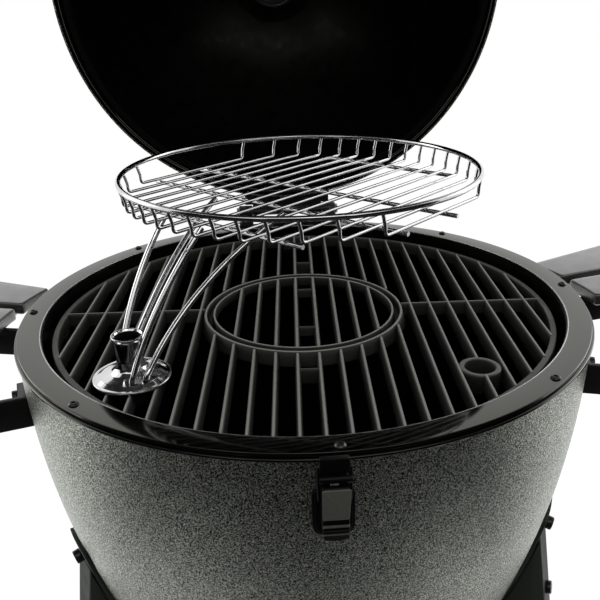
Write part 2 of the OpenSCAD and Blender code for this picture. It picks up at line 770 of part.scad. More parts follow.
module vent_base() color("#1c1d1e") on_lid() translate([0, 0, lid_flat]) difference() {
    union() {
        translate([0, 0, -liner_in - 2 * sheet_t])
            cylinder(r = vent_r, h = liner_in + 2 * sheet_t + vent_h - vent_wall);
        cylinder(r = vent_r + 18, h = vent_wall);
    }
    translate([0, 0, -2 * liner_in]) cylinder(r = vent_r - vent_wall, h = 2 * liner_in + 2 * vent_h);
}

module vent_plate() color("#1c1d1e") on_lid() translate([0, 0, lid_flat + vent_h - vent_wall]) difference() {
    cylinder(r = vent_r + 4, h = vent_wall);
    translate([0, 0, -1]) vent_hole_places() cylinder(r = vent_hole_r, h = 2 * vent_wall);
    translate([0, 0, -1]) cylinder(r = vent_pin_r + run_c, h = 2 * vent_wall);
}

module vent_hole_places() round_axis(vent_holes) translate([vent_pcd_r, 0, 0]) children();

module vent_cap() color("#2a2b2c") on_lid() translate([0, 0, lid_flat + vent_h + move_c]) difference() {
    union() {
        cylinder(r = vent_r + 5, h = vent_cap_t);
        translate([0, 0, -vent_wall - 8]) cylinder(r = vent_pin_r, h = vent_wall + 8);
    }
    rotate(180 / vent_holes) vent_hole_places() translate([0, 0, -1])
        cylinder(r = vent_hole_r, h = 2 * vent_cap_t);
}

module vent_knob() color("#141415") on_lid() translate([0, 0, lid_flat + vent_h + move_c + vent_cap_t])
    rotate_extrude() polygon([[0, 0], [7, 0], [6, 6], [11, 10], [12, 15], [10, 19], [0, 20]]);

module latch_base() color("#1a1a1b") at_rim() difference() {
    sink = 6;
    ear_w = 3;
    ear_x = lever_w / 2 - lever_wall - ear_w - move_c;
    plate_w = lever_w * 1.63;
    plate_h = lever_l * 0.87;
    union() {
        translate([0, sink - latch_back, pivot_z - 9 - plate_h / 2]) rotate([90, 0, 0])
            linear_extrude(latch_plate_t + sink)
            union() {
                square([plate_w - 12, plate_h], center = true);
                square([plate_w, plate_h - 12], center = true);
                for (x = [-1, 1]) for (z = [-1, 1])
                    translate([x * (plate_w / 2 - 6), z * (plate_h / 2 - 6)]) circle(r = 6);
            }
        translate([-lever_w / 2, -latch_back - latch_plate_t, pivot_z - 12])
            cube([lever_w, latch_plate_t + sink, 18]);
        for (s = [-1, 1]) translate([s * (ear_x + ear_w / 2) - ear_w / 2, pivot_y, pivot_z]) {
            rotate([0, 90, 0]) cylinder(r = 4.5, h = ear_w);
            translate([0, 0, -4.5]) cube([ear_w, -latch_back - pivot_y - 1, 9]);
        }
    }
    bowl_body(wall_c, $fn = 720);
    translate([-lever_w, pivot_y, pivot_z]) rotate([0, 90, 0])
        cylinder(r = latch_pin_r + run_c, h = 2 * lever_w);
}

module latch_pin() color("#9a9c9d") at_rim() translate([-lever_w / 2, pivot_y, pivot_z]) rotate([0, 90, 0])
    cylinder(r = latch_pin_r, h = lever_w);

module latch_lever() color("#3b3b39") at_rim() difference() {
    top = pivot_z + 4;
    side_deep = pivot_y + 4 - lever_face_y;
    union() {
        translate([-lever_w / 2, lever_face_y - lever_wall, top - lever_l])
            cube([lever_w, lever_wall, lever_l - 1]);
        for (x = [-lever_w / 2, lever_w / 2 - lever_wall]) translate([x, lever_face_y - 1, top - lever_l])
            cube([lever_wall, side_deep + 1, lever_l]);
        translate([-lever_w / 2, lever_face_y - 1, top - lever_l]) cube([lever_w, 7, 14]);
        for (i = [0:2]) translate([-lever_w / 2, lever_face_y - lever_wall, top - lever_l + 5 + 4 * i])
            rotate([0, 90, 0])
            cylinder(r = 1.2, h = lever_w);
    }
    translate([-lever_w, pivot_y, pivot_z]) rotate([0, 90, 0])
        cylinder(r = latch_pin_r + run_c, h = 2 * lever_w);
    translate([-lever_w, bail_y, bail_z]) rotate([0, 90, 0]) cylinder(r = bail_r + run_c, h = 2 * lever_w);
}

module latch_bail() color("#1a1a1b") at_rim() {
    for (s = [-1, 1]) {
        translate([s * bail_x, bail_y, bail_z]) cylinder(r = bail_r, h = -bail_z);
        translate([s * bail_x, bail_y, bail_z]) rotate([0, -s * 90, 0])
            cylinder(r = bail_r, h = bail_x - lever_w / 2 + lever_wall);
        translate([s * bail_x, bail_y, bail_z]) sphere(r = bail_r * 1.1);
    }
    translate([-bail_block[0] / 2, bail_y - bail_block[1] / 2, bail_top - bail_block[2]]) cube(bail_block);
}

// Leaning hollow leg whose top is cut to the strap on the bowl
module leg(turn, low) color("#20241f") difference() {
    at_rim() rotate(turn) translate([leg_top_r, 0, leg_top_z]) rotate([0, -leg_lean, 0]) difference() {
        translate([-leg_w, -leg_t / 2, -rim_h]) cube([leg_w, leg_t, rim_h + 20]);
        translate([-leg_w + leg_wall, -leg_t / 2 + leg_wall, -rim_h - 1])
            cube([leg_w - 2 * leg_wall, leg_t - 2 * leg_wall, rim_h + 30]);
    }
    at_rim() bowl_body(strap_in + strap_t + wall_c);
    translate([0, 0, low - rim_h]) cube([4 * rim_r, 4 * rim_r, 2 * rim_h], center = true);
    tray_bolt_places() cylinder(r = bolt_r + seat_c, h = 30, center = true);
    translate([-2 * rim_r, axle_y, wheel_z]) rotate([0, 90, 0]) cylinder(r = axle_r + seat_c, h = 4 * rim_r);
}

module leg_front_left() leg(leg_turns[0], foot_h);
module leg_front_right() leg(leg_turns[1], foot_h);
module leg_rear_right() leg(leg_turns[2], wheel_z - 30);
module leg_rear_left() leg(leg_turns[3], wheel_z - 30);

module leg_straps() color("#1a1d1a") at_rim() for (turn = leg_turns) rotate(turn - strap_turn / 2)
    rotate_extrude(angle = strap_turn)
        polygon(concat(side(-strap_in - strap_t, strap_top, strap_low),
            flip(side(-strap_in, strap_top, strap_low))));

module leg_bolts() color("#141415") {
    head_z = [strap_top - strap_bolt_drop, leg_top_z - leg_bolt_high, leg_top_z - leg_bolt_low];
    span = 2 * strap_bolt_drop;
    tilt = atan((bowl_radius(strap_top) - bowl_radius(strap_top - span)) / span);
    at_rim() for (turn = leg_turns) rotate(turn) {
        difference() {
            translate([bowl_radius(head_z[0]) + strap_t, 0, head_z[0]]) rotate([0, 90 + tilt, 0])
                cylinder(r = bolt_head_r, h = bolt_head_h + 2);
            bowl_body(strap_in + strap_t + wall_c);
        }
        for (z = [head_z[1], head_z[2]]) translate([leg_out_r(z) + seat_c, 0, z])
            rotate([0, 90 - leg_lean, 0])
            cylinder(r = bolt_head_r, h = bolt_head_h);
    }
}

module front_feet() color("#0f0f10") for (turn = [leg_turns[0], leg_turns[1]]) rotate(turn)
    translate([leg_out_r(foot_h - rim_h) - leg_w / 2, 0, 0]) rotate_extrude()
        polygon([[0, 0], [foot_r - 2, 0], [foot_r, 3], [foot_r - 5, foot_h - 6], [foot_r, foot_h - 3],
            [foot_r, foot_h], [8, foot_h], [8, foot_h + 14], [0, foot_h + 14]]);

module lower_tray() color("#20241f") translate([0, 0, tray_h]) difference() {
    cylinder(r = tray_r, h = tray_lip);
    translate([0, 0, tray_t]) cylinder(r = tray_r - tray_t, h = tray_lip);
    translate([0, 0, -tray_h]) tray_bolt_places() cylinder(r = bolt_r + seat_c, h = 30, center = true);
}

module tray_bolt_places() for (turn = leg_turns) rotate(turn)
    translate([tray_r - tray_t, 0, tray_h + tray_lip / 2 + 2]) rotate([0, 90, 0]) children();

module tray_bolts() color("#141415") tray_bolt_places() {
    translate([0, 0, -wall_c]) cylinder(r = bolt_r, h = tray_t + 12 + wall_c);
    translate([0, 0, -bolt_head_h - wall_c]) cylinder(r = bolt_head_r, h = bolt_head_h);
}

module axle() color("#9a9c9d") {
    cap_x = wheel_x + wheel_w + 1;
    translate([-cap_x, axle_y, wheel_z]) rotate([0, 90, 0]) cylinder(r = axle_r, h = 2 * cap_x);
    for (s = [-1, 1]) translate([s * cap_x, axle_y, wheel_z]) rotate([0, s * 90, 0])
        cylinder(r1 = 2 * axle_r, r2 = 1.5 * axle_r, h = axle_r);
}

// Spoked wheel with a rubber-look tread, turned about X
module wheel(side) color("#161616") translate([side > 0 ? wheel_x : -wheel_x - wheel_w, axle_y, wheel_z])
    rotate([0, 90, 0])
    difference() {
        rotate_extrude() polygon([[axle_r + run_c, 0], [18, 0], [22, 8], [wheel_r - 18, 10],
            [wheel_r - 14, 2], [wheel_r - 4, 0], [wheel_r, 4], [wheel_r, wheel_w - 4], [wheel_r - 4, wheel_w],
            [wheel_r - 14, wheel_w - 2],
            [wheel_r - 18, wheel_w - 10], [22, wheel_w - 8], [18, wheel_w], [axle_r + run_c, wheel_w]]);
        round_axis(5) translate([wheel_r * 0.52, 0, -1]) cylinder(r = wheel_r * 0.15, h = wheel_w + 2);
    }

module wheel_left() wheel(-1);
module wheel_right() wheel(1);

// Flat arms on the bowl with two curved rails under the slats, for the shelf on +X
module shelf_frame() difference() {
    union() {
        for (turn = [-front_arm_turn, rear_arm_turn]) rotate(turn) {
            translate([rim_r - 30, -arm_t / 2, arm_top - arm_h]) cube([arm_out_r - rim_r + 30, arm_t, arm_h]);
            translate([rim_r - 30, -arm_t / 2, arm_top - arm_h]) cube([30 + arm_foot_t, arm_foot_w, arm_h]);
        }
        span = (slats_n - 1) * slat_pitch + slat_turn - 2;
        for (r = rail_in) rotate(-span / 2) rotate_extrude(angle = span)
            translate([slat_in_r + r, arm_top - 1]) square([rail_w, rail_t + 1]);
    }
    bowl_body(wall_c);
    shelf_bolt_places() cylinder(r = bolt_r + seat_c, h = 60, center = true);
}

module shelf_bolt_places() for (turn = [-front_arm_turn, rear_arm_turn]) for (s = [-1, 1]) rotate(turn)
    translate([rim_r + arm_foot_t, arm_foot_w / 2, arm_z + s * arm_h / 4]) rotate([0, 90, 0]) children();

module slats() for (i = [0:slats_n - 1]) rotate((i - (slats_n - 1) / 2) * slat_pitch - slat_turn / 2)
    rotate_extrude(angle = slat_turn) translate([slat_in_r, slat_low]) square([slat_l, slat_t]);

module right_shelf_frame() color("#171818") at_rim() shelf_frame();
module left_shelf_frame() color("#171818") at_rim() mirror([1, 0, 0]) shelf_frame();
module right_slats() color("#7d8078") at_rim() slats();
module left_slats() color("#7d8078") at_rim() mirror([1, 0, 0]) slats();

module shelf_bolts() color("#141415") at_rim() for (m = [0, 1]) mirror([m, 0, 0]) difference() {
    shelf_bolt_places() {
        cylinder(r = bolt_head_r, h = bolt_head_h);
        translate([0, 0, -arm_foot_t - 20]) cylinder(r = bolt_r, h = arm_foot_t + 20);
    }
    bowl_body(seat_c);
}

bowl_shell();
bowl_insulation();
bowl_liner();
rim_ring();
rim_screws();
grid_lugs();
charcoal_grate();
ash_tube();
ash_housing();
ash_drawer();
damper_slide();
cooking_grid();
grid_bars();
grid_insert();
rack_post();
rack_rods();
rack_rim();
rack_wires();
rack_uprights();
rack_supports();
lid_shell();
lid_insulation();
lid_liner();
lid_gasket();
lid_hinge_plate();
hinge_base();
hinge_pins();
hinge_bolts();
lid_handle();
handle_posts();
latch_strike();
thermometer_case();
thermometer_dial();
thermometer_pointer();
thermometer_glass();
vent_base();
vent_plate();
vent_cap();
vent_knob();
latch_base();
latch_pin();
latch_lever();
latch_bail();
leg_front_left();
leg_front_right();
leg_rear_right();
leg_rear_left();
leg_straps();
leg_bolts();
front_feet();
lower_tray();
tray_bolts();
axle();
wheel_left();
wheel_right();
left_shelf_frame();
right_shelf_frame();
left_slats();
right_slats();
shelf_bolts();
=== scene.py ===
"""Looks of the kamado grill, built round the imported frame."""
import json
import math

import bmesh
import bpy
from mathutils import Matrix, Quaternion, Vector


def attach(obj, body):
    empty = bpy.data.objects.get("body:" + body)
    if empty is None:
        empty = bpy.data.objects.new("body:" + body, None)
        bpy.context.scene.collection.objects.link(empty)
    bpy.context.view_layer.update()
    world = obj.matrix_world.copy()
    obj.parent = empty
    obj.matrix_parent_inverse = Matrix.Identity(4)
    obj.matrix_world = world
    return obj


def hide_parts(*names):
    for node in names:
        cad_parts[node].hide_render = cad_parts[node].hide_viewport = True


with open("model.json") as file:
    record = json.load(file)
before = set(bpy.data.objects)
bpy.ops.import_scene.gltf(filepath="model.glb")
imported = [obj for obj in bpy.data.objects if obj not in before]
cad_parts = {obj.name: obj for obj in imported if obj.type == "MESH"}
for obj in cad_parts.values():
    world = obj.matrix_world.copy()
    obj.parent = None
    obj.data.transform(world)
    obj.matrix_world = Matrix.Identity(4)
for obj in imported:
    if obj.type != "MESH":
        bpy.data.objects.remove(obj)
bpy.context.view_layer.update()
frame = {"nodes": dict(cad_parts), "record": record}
nodes = frame["nodes"]
slot_of = {s["node"]: s["material_slot"] for s in frame["record"]["subparts"]}
body_of = {n: b for b, ns in frame["record"]["behaviour"]["bodies"].items() for n in ns}
scene = bpy.context.scene

# Main sizes in millimetres: heights go up from the rim's top face, and the lid is drawn closed
MM = 0.001
RIM_HEIGHT_M = 0.85
RIM_IN_R, RIM_R, RIM_T = 254, 275, 3
RIM_SCREWS_AT = RIM_R - 7
SHEET, LINER_INSET = 2, 20
BOWL_CURVE_R, BOWL_BASE, BOWL_BEVEL = 840, -400, 35
ASH_HOLE_R = 55
LID_BAND, LID_TOP, LID_CROWN = 20, 250, 243
LID_EDGE_Z = 5
VENT_HOLE_R = 40.3
DOME_Z = (RIM_R ** 2 + LID_BAND ** 2 - LID_TOP ** 2) / (2 * (LID_BAND - LID_TOP))
DOME_R = LID_TOP - DOME_Z
GRID_TURN = -3
SOCKETS_AT, SOCKET_TURN = 201.5, 47
STAND_Z = -10.7
RACK_R, RACK_RIM_Z = 168, 132
SLAT_IN_R, SLAT_OUT_R = 327, 542

# Steps round a full turn
RIM_STEPS, LID_STEPS, RING_STEPS = 240, 200, 160
POST_STEPS, SOCKET_STEPS, SCREW_STEPS = 96, 56, 24


def polar(radius, degrees):
    angle = math.radians(degrees)
    return radius * math.cos(angle), radius * math.sin(angle)


# Points in millimetres: the hinge, the grid's sockets in its own place, and the axis of the rack's post
HINGE = Vector((0, 296, 9.5))
SOCKETS = [polar(SOCKETS_AT, -90 + s * SOCKET_TURN) for s in (-1, 1)]
POST = polar(SOCKETS_AT, -90 - SOCKET_TURN + GRID_TURN)

# Places, which take millimetres to metres in the shared frame
RIM = Matrix.Translation((0, 0, RIM_HEIGHT_M)) @ Matrix.Scale(MM, 4)
LID = (RIM @ Matrix.Translation(HINGE) @ Matrix.Rotation(math.radians(-90), 4, "X")
       @ Matrix.Translation(-HINGE))
GRID = RIM @ Matrix.Rotation(math.radians(GRID_TURN), 4, "Z")
STAND = RIM @ Matrix.Translation((0, 0, STAND_Z))
FRONT = RIM @ Matrix.Rotation(math.radians(90), 4, "X")

# Materials

# Numbers of the colour sockets on a Mix node
MIX_A, MIX_B, MIX_OUT = 6, 7, 2


class Look:
    """A principled material that takes colour, roughness and bump from textures in object coordinates."""

    def __init__(self, name, rough, metal=0.0, **inputs):
        self.mat = bpy.data.materials.new(name)
        self.mat.use_nodes = True
        self.tree = self.mat.node_tree
        self.bsdf = self.tree.nodes["Principled BSDF"]
        self.bsdf.inputs["Roughness"].default_value = rough
        self.bsdf.inputs["Metallic"].default_value = metal
        for key, value in inputs.items():
            self.bsdf.inputs[key.replace("_", " ")].default_value = value
        self.coord = self.tree.nodes.new("ShaderNodeTexCoord").outputs["Object"]

    def node(self, kind, **settings):
        made = self.tree.nodes.new("ShaderNode" + kind)
        for key, value in settings.items():
            if key in made.inputs:
                made.inputs[key].default_value = value
            else:
                setattr(made, key, value)
        return made

    def link(self, a, b):
        self.tree.links.new(a, b)

    def stretched(self, scale):
        made = self.node("Mapping", Scale=scale)
        self.link(self.coord, made.inputs["Vector"])
        return made.outputs[0]

    def noise(self, scale, detail, stretch=None, **settings):
        made = self.node("TexNoise", Scale=scale, Detail=detail, **settings)
        self.link(self.stretched(stretch) if stretch else self.coord, made.inputs["Vector"])
        return made.outputs["Fac"]

    def height(self):
        made = self.node("SeparateXYZ")
        self.link(self.coord, made.inputs[0])
        return made.outputs["Z"]

    def cells(self, scale):
        made = self.node("TexVoronoi", Scale=scale, feature="SMOOTH_F1")
        self.link(self.coord, made.inputs["Vector"])
        return made.outputs["Distance"]

    def ramp(self, source, low, high, start=0.3, end=0.7, middle=None):
        made = self.node("ValToRGB")
        stops = made.color_ramp.elements
        stops[0].position, stops[1].position = start, end
        stops[0].color, stops[1].color = (*low, 1), (*high, 1)
        if middle:
            stop = stops.new(middle[0])
            stop.color = (*middle[1], 1)
        self.link(source, made.inputs["Fac"])
        return made.outputs["Color"]

    def blend(self, share, source, tone):
        """Mixes a plain tone into a coloured output."""
        made = self.node("Mix", data_type="RGBA")
        self.link(share, made.inputs["Factor"])
        self.link(source, made.inputs[MIX_A])
        made.inputs[MIX_B].default_value = (*tone, 1)
        return made.outputs[MIX_OUT]

    def span(self, source, low, high, start=0.3, end=0.7):
        made = self.node("MapRange")
        for key, value in (("From Min", start), ("From Max", end), ("To Min", low), ("To Max", high)):
            made.inputs[key].default_value = value
        self.link(source, made.inputs["Value"])
        return made.outputs[0]

    def colour(self, source):
        self.link(source, self.bsdf.inputs["Base Color"])

    def rough(self, source):
        self.link(source, self.bsdf.inputs["Roughness"])

    def bump(self, source, strength, distance, under=None):
        made = self.node("Bump", Strength=strength, Distance=distance)
        self.link(source, made.inputs["Height"])
        if under:
            self.link(under, made.inputs["Normal"])
        self.link(made.outputs[0], self.bsdf.inputs["Normal"])
        return made.outputs[0]


def grey(level, tint=(1, 1, 1)):
    return tuple(level * t for t in tint)


HAMMER_TINT = (0.95, 1, 0.88)
ENAMEL_SHEEN = (1, 0.99, 0.86, 1)
IRON_TINT = (1, 1, 0.92)
CHROME_TINT = (1, 1, 1.01)
LATCH_TINT = (1, 1, 0.86)
RESIN_TINT = (0.98, 1, 0.95)


def hammertone():
    """Paint full of fine bright and dark flecks over shallow pits."""
    look = Look("hammertone_paint", 0.36, 0.95)
    speck = look.noise(990, 2, Roughness=0.6)
    pits = look.cells(900)
    tone = look.ramp(speck, grey(0.005, HAMMER_TINT), grey(1.0, HAMMER_TINT), 0.47, 0.55)
    look.colour(look.blend(look.span(pits, 0.0, 0.35, 0.1, 0.7), tone, grey(0.25, HAMMER_TINT)))
    look.rough(look.span(speck, 0.26, 0.42))
    under = look.bump(pits, 0.8, 0.0005)
    look.bump(speck, 0.6, 0.0004, under)
    return look.mat


def enamel(name, base, rough, gloss, ripple):
    """Black enamel with a slight ripple."""
    look = Look(name, rough, Specular_IOR_Level=gloss, Specular_Tint=ENAMEL_SHEEN)
    wide = look.noise(14, 4)
    fine = look.noise(520, 3)
    look.colour(look.ramp(wide, grey(base * 0.8), grey(base * 1.25, (1.02, 1, 0.97))))
    look.rough(look.span(look.noise(60, 5), rough * 0.75, rough * 1.35))
    look.bump(fine, ripple, 0.0003)
    return look.mat


def satin(name, low, high, rough, grain=480, bump=0.18, metal=0.0, gloss=0.5, **inputs):
    """Satin paint or moulded plastic with a fine orange peel and slow colour drift."""
    look = Look(name, rough, metal, Specular_IOR_Level=gloss, **inputs)
    fine = look.noise(grain, 3, Roughness=0.6)
    drift = look.ramp(look.noise(9, 4), low, high)
    look.colour(look.blend(look.span(fine, 0.0, 0.35), drift, tuple(c * 1.5 for c in high)))
    look.rough(look.span(look.noise(40, 4), rough - 0.07, rough + 0.09))
    look.bump(fine, bump, 0.0004)
    return look.mat


def cast_iron(name, base, painted_ridge_light=None):
    """Sand-cast iron; two optional heights bound a painted ridge highlight over painted shade."""
    look = Look(name, 0.5, Specular_IOR_Level=0.4)
    sand = look.noise(900, 4, Roughness=0.7)
    patch = look.noise(28, 5)
    cast = look.ramp(patch, grey(base * 0.75, (1, 0.99, 0.93)), grey(base * 1.2, IRON_TINT))
    cast = look.blend(look.span(sand, 0.0, 0.5), cast, grey(base * 2.2, (1, 1, 0.93)))
    # Painted highlight along the bars' top ridge, fading to painted shade down their sides
    if painted_ridge_light:
        low, high = painted_ridge_light
        ridge = look.span(look.height(), 0.0, 1.0, low, high)
        ridge_highlight_mask = look.ramp(ridge, grey(0), grey(1), 0.3, 0.99, (0.92, grey(0.12)))
        cast = look.blend(ridge_highlight_mask, cast, grey(base * 12, IRON_TINT))
    look.colour(cast)
    look.rough(look.span(patch, 0.42, 0.62))
    under = look.bump(look.noise(240, 3), 0.35, 0.0006)
    look.bump(sand, 0.35, 0.0004, under)
    return look.mat


def chrome():
    look = Look("chrome_plate", 0.09, 1.0)
    look.colour(look.ramp(look.noise(35, 3), grey(0.6, CHROME_TINT), grey(0.78, CHROME_TINT)))
    look.rough(look.span(look.noise(180, 3), 0.06, 0.16))
    look.bump(look.noise(700, 2), 0.03, 0.0002)
    return look.mat


def brushed(name, tone, rough):
    look = Look(name, rough, 1.0)
    lines = look.noise(160, 4, stretch=(1, 14, 14))
    look.colour(look.ramp(lines, grey(tone * 0.75), grey(tone)))
    look.rough(look.span(lines, rough - 0.08, rough + 0.1))
    look.bump(lines, 0.08, 0.0002)
    return look.mat


def woven():
    look = Look("woven_seal", 0.95, Specular_IOR_Level=0.1)
    threads = look.noise(900, 2, stretch=(1, 1, 3))
    look.colour(look.ramp(threads, grey(0.0008), grey(0.003)))
    look.bump(threads, 0.8, 0.0008)
    return look.mat


def dial_face():
    look = Look("dial_enamel", 0.4)
    look.colour(look.ramp(look.noise(60, 3), (0.78, 0.78, 0.74), (0.86, 0.86, 0.83)))
    return look.mat


def clear_glass():
    look = Look("clear_glass", 0.03, Transmission_Weight=1.0, IOR=1.46)
    look.colour(look.ramp(look.noise(30, 2), (0.93, 0.96, 0.96), (1, 1, 1)))
    return look.mat


HAMMER = hammertone()
ENAMEL = enamel("rim_enamel", base=0.0012, rough=0.08, gloss=0.8, ripple=0.02)
LINER = enamel("liner_enamel", base=0.0012, rough=0.3, gloss=0.12, ripple=0.1)
BLACK = satin("satin_black", grey(0.005), grey(0.010), 0.4)
SCREW = satin("blackened_steel", grey(0.02), grey(0.05), 0.3, grain=700, bump=0.1, metal=0.7)
LEG = satin("leg_paint", (0.02, 0.027, 0.02), (0.03, 0.04, 0.03), 0.5, gloss=0.2)
LATCH = satin("latch_paint", grey(0.066, LATCH_TINT), grey(0.086, LATCH_TINT), 0.34)
RESIN = satin("grey_resin", grey(0.015, RESIN_TINT), grey(0.022, RESIN_TINT), 0.36, grain=650, bump=0.3,
              gloss=1.0, Coat_Weight=1.0, Coat_Roughness=0.24, Coat_IOR=1.7)
JET = satin("latch_black", grey(0.0012), grey(0.0024), 0.4, gloss=0.2)
PLASTIC = satin("black_plastic", grey(0.012), grey(0.02), 0.5, grain=380, bump=0.2)
RUBBER = satin("rubber", grey(0.012), grey(0.022), 0.7, grain=300, bump=0.3)
# Grid iron with a painted highlight on its bar ridges and painted shade down their sides
IRON = cast_iron("iron_painted_ridge_light", 0.02, painted_ridge_light=(0.832, 0.8388))
# Darker iron for the charcoal grate: painted shade, so that it stays black under the grid
COAL_IRON = cast_iron("grate_iron_painted_shade", 0.006)
CHROME = chrome()
STEEL = brushed("satin_steel", 0.55, 0.3)
SEAL = woven()
DIAL = dial_face()
RED = satin("pointer_red", (0.4, 0.012, 0.012), (0.5, 0.02, 0.02), 0.4)
GLASS = clear_glass()
BLANKET = satin("fibre_blanket", (0.5, 0.46, 0.38), (0.62, 0.58, 0.48), 0.95, grain=300, bump=0.8)
BY_SLOT = {
    "hammertone": HAMMER, "black_enamel": LINER, "black_paint": BLACK, "latch_paint": LATCH,
    "leg_paint": LEG, "black_screws": SCREW, "iron": IRON, "chrome_wire": CHROME, "steel": STEEL,
    "resin": RESIN, "blanket": BLANKET, "gasket": SEAL, "grip": PLASTIC, "foot_rubber": RUBBER,
    "dial_white": DIAL, "pointer_red": RED, "clear_glass": GLASS,
}
for name, obj in nodes.items():
    obj.data.materials.clear()
    obj.data.materials.append(BY_SLOT[slot_of[name]])

# Lines and outlines

LEAST_ANGLE, SIDE_SHARE = 0.02, 0.48


def curve(a, lean, b, steps):
    """Points of a smooth curve from a to b, which leans towards a third point."""
    parts = [k / steps for k in range(steps + 1)]
    return [a * (1 - t) ** 2 + lean * 2 * t * (1 - t) + b * t * t for t in parts]


def soft(points, radius, steps, closed=True):
    """The same path with its corners rounded; radius is one number or one for each point."""
    out = []
    for i, p in enumerate(points):
        p = Vector(p)
        r = radius[i] if isinstance(radius, (list, tuple)) else radius
        if r <= 0 or (not closed and i in (0, len(points) - 1)):
            out.append(p)
            continue
        u, v = Vector(points[i - 1]) - p, Vector(points[(i + 1) % len(points)]) - p
        reach = r / math.tan(max(u.angle(v), LEAST_ANGLE) / 2)
        reach = min(reach, u.length * SIDE_SHARE, v.length * SIDE_SHARE)
        out += curve(p + u.normalized() * reach, p, p + v.normalized() * reach, steps)
    return out


def circle(centre, radius, n):
    turns = [2 * math.pi * i / n for i in range(n)]
    return [(centre[0] + radius * math.cos(a), centre[1] + radius * math.sin(a)) for a in turns]


def tablet(half, low, high, radii):
    """Upright rectangle with rounded corners."""
    return soft([(-half, low), (half, low), (half, high), (-half, high)], radii, 6)


# Solids


def round_edges(bm, edges, width, steps):
    bmesh.ops.bevel(bm, geom=list(edges), offset=width, segments=steps, profile=0.5, affect="EDGES")


def lathe(bm, profile, n, closed=True, at=(0, 0)):
    """Turns a profile of (radius, height) about an upright axis."""
    last = len(profile) if closed else len(profile) - 1
    rings = []
    for i in range(n):
        x, y = math.cos(2 * math.pi * i / n), math.sin(2 * math.pi * i / n)
        rings.append([bm.verts.new((at[0] + p[0] * x, at[1] + p[0] * y, p[1])) for p in profile])
    for i in range(n):
        a, b = rings[i], rings[(i + 1) % n]
        for k in range(last):
            j = (k + 1) % len(profile)
            bm.faces.new((a[k], b[k], b[j], a[j]))


def bar(bm, section, a, b, across):
    """Straight bar from a to b with a closed section of (across, up)."""
    a, b, across = Vector(a), Vector(b), Vector(across)
    up = across.cross((b - a).normalized())
    first, last = [[bm.verts.new(p + across * s[0] + up * s[1]) for s in section] for p in (a, b)]
    for k in range(len(section)):
        j = (k + 1) % len(section)
        bm.faces.new((first[k], first[j], last[j], last[k]))
    bm.faces.new(first)
    bm.faces.new(list(reversed(last)))


def plate(bm, outline, low, high, edge, steps=3):
    """Upright slab of an outline with rounded top and bottom edges."""
    face = bm.faces.new([bm.verts.new((p[0], p[1], low)) for p in outline])
    made = bmesh.ops.extrude_face_region(bm, geom=[face])["geom"]
    top = [v for v in made if isinstance(v, bmesh.types.BMVert)]
    bmesh.ops.translate(bm, verts=top, vec=(0, 0, high - low))
    ends = set(face.edges) | {e for f in made if isinstance(f, bmesh.types.BMFace) for e in f.edges}
    round_edges(bm, ends, edge, steps)


def cube_place(low, high):
    """Takes a unit cube to the box between two corners."""
    low, high = Vector(low), Vector(high)
    return Matrix.Translation((low + high) / 2) @ Matrix.Diagonal((*(high - low), 1))


def block(bm, low, high, edge, steps=2):
    """Box between two corners with rounded edges."""
    made = bmesh.ops.create_cube(bm, size=1, matrix=cube_place(low, high))["verts"]
    round_edges(bm, {e for v in made for e in v.link_edges}, edge, steps)


def rod(bm, a, b, radius, sides=20):
    """Straight round rod with slightly eased ends."""
    a, b = Vector(a), Vector(b)
    turn = (b - a).to_track_quat("Z", "Y").to_matrix().to_4x4()
    place = Matrix.Translation((a + b) / 2) @ turn
    made = bmesh.ops.create_cone(bm, cap_ends=True, segments=sides, radius1=radius, radius2=radius,
                                 depth=(b - a).length, matrix=place)["verts"]
    ends = {e for v in made for e in v.link_edges if e.calc_face_angle(0) > 1}
    round_edges(bm, ends, radius * 0.18, 2)


# Pieces

# Joining distances in metres, then the angles of a flat and of a hard edge in degrees
WELD, CAD_WELD, FLAT, HARD = 2e-7, 2e-6, 0.8, 32


def piece(name, bm, place, look, *stands_for, sharp=42, slot=None):
    """Makes an object of a mesh, which moves with the body of the nodes that it stands for."""
    bm.transform(place)
    bmesh.ops.remove_doubles(bm, verts=bm.verts, dist=WELD)
    bmesh.ops.recalc_face_normals(bm, faces=bm.faces)
    mesh = bpy.data.meshes.new(name)
    bm.to_mesh(mesh)
    bm.free()
    mesh.polygons.foreach_set("use_smooth", [True] * len(mesh.polygons))
    mesh.set_sharp_from_angle(angle=math.radians(sharp))
    mesh.materials.append(look)
    obj = bpy.data.objects.new(name, mesh)
    scene.collection.objects.link(obj)
    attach(obj, body_of[stands_for[0]])
    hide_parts(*stands_for)


def turned(name, profile, n, place, look, node, closed=True, at=(0, 0), **more):
    """A piece that is one turned profile."""
    bm = bmesh.new()
    lathe(bm, profile, n, closed, at)
    piece(name, bm, place, look, node, **more)


def refine(node, width, look=None):
    """The CAD node with its edges rounded."""
    bm = bmesh.new()
    bm.from_mesh(nodes[node].data)
    bmesh.ops.remove_doubles(bm, verts=bm.verts, dist=CAD_WELD)
    bmesh.ops.dissolve_limit(bm, angle_limit=math.radians(FLAT), verts=bm.verts, edges=bm.edges)
    hard = [e for e in bm.edges if e.is_manifold and e.calc_face_angle(0) > math.radians(HARD)]
    bmesh.ops.bevel(bm, geom=hard, offset=width * MM, segments=2, profile=0.5, affect="EDGES",
                    clamp_overlap=False)
    piece(node + "_fine", bm, Matrix.Identity(4), look or BY_SLOT[slot_of[node]], node)


